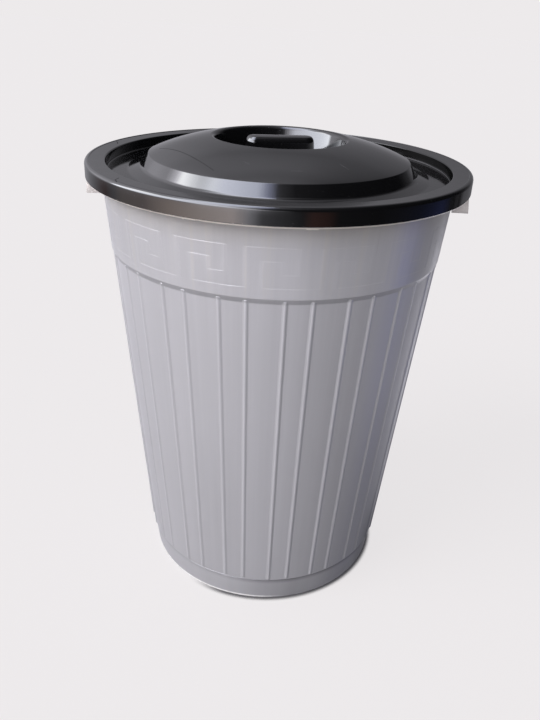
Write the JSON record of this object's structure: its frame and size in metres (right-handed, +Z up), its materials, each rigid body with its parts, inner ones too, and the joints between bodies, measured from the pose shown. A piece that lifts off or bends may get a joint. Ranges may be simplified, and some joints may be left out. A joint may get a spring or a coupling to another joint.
{
  "type": "round refuse bin with lift-off lid",
  "caption": "Tall tapered plastic refuse bin with paired ribs, a patterned band, side grips under the rim and a domed lift-off lid with a recessed pinch grip.",
  "frame": {"origin": "centre of the ring that the tub stands on, at ground level", "axes": "+Z up along the tub's axis, +X through the middle of the right side grip, -Y towards the viewer in the picture"},
  "size_m": [0.5206, 0.52, 0.6605],
  "materials": {
    "tub_silver": "satin silver-grey moulded plastic",
    "grip_grey": "satin warm light grey moulded plastic",
    "lid_black": "glossy black moulded plastic"
  },
  "bodies": {
    "tub": {"tub": "tub_silver", "left_grip": "grip_grey", "right_grip": "grip_grey"},
    "lid": {"lid": "lid_black"}
  },
  "joints": [
    {"name": "lid_lift", "type": "slide", "parent": "tub", "child": "lid", "axis": [0, 0, 1], "range_m": [0, 0.2]}
  ]
}
